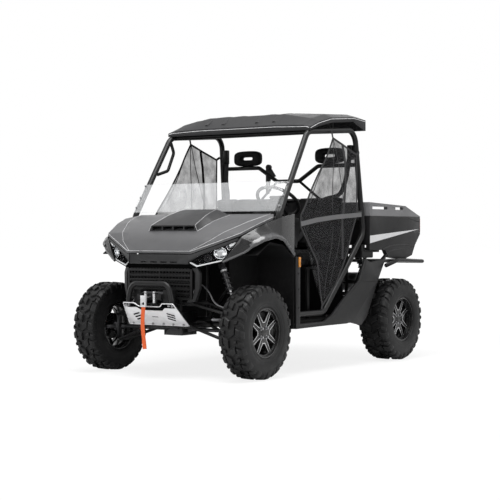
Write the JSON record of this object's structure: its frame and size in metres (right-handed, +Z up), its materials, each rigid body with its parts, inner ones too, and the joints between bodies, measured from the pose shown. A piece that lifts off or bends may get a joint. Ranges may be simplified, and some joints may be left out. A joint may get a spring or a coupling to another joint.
{
  "type": "side by side utility vehicle",
  "caption": "Open two-seat off-road utility vehicle with roll cage, roof, half windshield, side nets, winch, tilting cargo bed and steered front wheels.",
  "frame": {"origin": "on the ground, under the middle of the outline", "axes": "front faces -Y, the vehicle's left is +X, +Z up"},
  "size_m": [1.6248, 2.939, 2.0299],
  "materials": {
    "black_steel": "satin",
    "engine_metal": "matt",
    "rim_black": "gloss with machined edges",
    "tyre": "matt",
    "bare_metal": "satin",
    "silver_plate": "satin",
    "grey_body": "satin metallic",
    "dark_body": "matt",
    "black_plastic": "grained",
    "lamp_clear": "clear",
    "amber": "clear amber",
    "red_lens": "red",
    "screen": "lightly smoked",
    "seat_fabric": "grained",
    "net": "woven mesh",
    "strap": "webbing",
    "spring_grey": "satin"
  },
  "bodies": {
    "chassis": {"main_frame": "black_steel", "front_tower": "black_steel", "rear_tower": "black_steel", "wheel_liners": "black_plastic", "engine_block": "engine_metal", "front_drive": "black_steel", "rear_drive": "black_steel", "front_arms": "black_steel", "rear_arms": "black_steel", "front_shocks": "spring_grey", "rear_shocks": "spring_grey", "rear_hub_carriers": "bare_metal", "muffler": "bare_metal", "skid_plate": "silver_plate", "bull_bar": "black_steel", "winch": "black_steel", "fairlead": "silver_plate", "winch_hook": "silver_plate", "pull_strap": "strap", "front_fascia": "grey_body", "grille": "black_plastic", "headlamps": "lamp_clear", "front_fenders": "dark_body", "side_panels": "dark_body", "cab_floor": "black_plastic", "seat_base": "black_plastic", "seat_cushion": "seat_fabric", "seat_back": "seat_fabric", "headrests": "black_plastic", "headrest_bar": "black_steel", "belt_reels": "black_plastic", "dashboard": "black_plastic", "windshield": "screen", "roll_cage": "black_steel", "roof": "grey_body", "grab_handle": "black_plastic", "net_left": "net", "net_right": "net", "rear_bumper": "black_steel", "marker_lamps": "amber", "pedals": "black_steel", "steering_gear": "black_steel"},
    "hood": {"hood": "grey_body", "hood_scoop": "dark_body"},
    "left_knuckle": {"knuckle_left": "bare_metal"},
    "right_knuckle": {"knuckle_right": "bare_metal"},
    "rack": {"steering_rack": "bare_metal"},
    "handwheel": {"steering_wheel": "black_plastic"},
    "wheel_front_left": {"tyre_front_left": "tyre", "rim_front_left": "rim_black"},
    "wheel_front_right": {"tyre_front_right": "tyre", "rim_front_right": "rim_black"},
    "wheel_rear_left": {"tyre_rear_left": "tyre", "rim_rear_left": "rim_black"},
    "wheel_rear_right": {"tyre_rear_right": "tyre", "rim_rear_right": "rim_black"},
    "bed": {"cargo_bed": "dark_body", "tail_lamps": "red_lens"},
    "gate": {"tailgate": "dark_body"}
  },
  "joints": [
    {"name": "hood_hinge", "type": "hinge", "parent": "chassis", "child": "hood", "pos_m": [0, -0.737, 1.198], "axis": [-1, 0, 0], "range_deg": [0, 45]},
    {"name": "steer_left", "type": "hinge", "parent": "chassis", "child": "left_knuckle", "pos_m": [0.6, -1.045, 0.343], "axis": [0, 0, 1], "range_deg": [-30, 30]},
    {"name": "steer_right", "type": "hinge", "parent": "chassis", "child": "right_knuckle", "pos_m": [-0.6, -1.045, 0.343], "axis": [0, 0, 1], "range_deg": [-30, 30]},
    {"name": "rack_slide", "type": "slide", "parent": "chassis", "child": "rack", "axis": [1, 0, 0], "range_m": [-0.0603, 0.0603]},
    {"name": "handwheel_turn", "type": "hinge", "parent": "chassis", "child": "handwheel", "pos_m": [0.36, -0.275, 1.294], "axis": [0, 0.6168, 0.7871], "range_deg": [-270, 270]},
    {"name": "roll_front_left", "type": "hinge", "parent": "left_knuckle", "child": "wheel_front_left", "pos_m": [0.685, -1.045, 0.343], "axis": [1, 0, 0], "continuous": true},
    {"name": "roll_front_right", "type": "hinge", "parent": "right_knuckle", "child": "wheel_front_right", "pos_m": [-0.685, -1.045, 0.343], "axis": [1, 0, 0], "continuous": true},
    {"name": "roll_rear_left", "type": "hinge", "parent": "chassis", "child": "wheel_rear_left", "pos_m": [0.685, 0.975, 0.343], "axis": [1, 0, 0], "continuous": true},
    {"name": "roll_rear_right", "type": "hinge", "parent": "chassis", "child": "wheel_rear_right", "pos_m": [-0.685, 0.975, 0.343], "axis": [1, 0, 0], "continuous": true},
    {"name": "bed_dump", "type": "hinge", "parent": "chassis", "child": "bed", "pos_m": [0, 1.295, 0.92], "axis": [-1, 0, 0], "range_deg": [0, 40]},
    {"name": "gate_drop", "type": "hinge", "parent": "bed", "child": "gate", "pos_m": [0, 1.392, 0.996], "axis": [-1, 0, 0], "range_deg": [0, 90]}
  ],
  "couplings": [
    {"joint": "steer_right", "follows": "steer_left", "ratio": 1},
    {"joint": "rack_slide", "follows": "steer_left", "m_per_rad": -0.115},
    {"joint": "handwheel_turn", "follows": "steer_left", "ratio": 9}
  ]
}
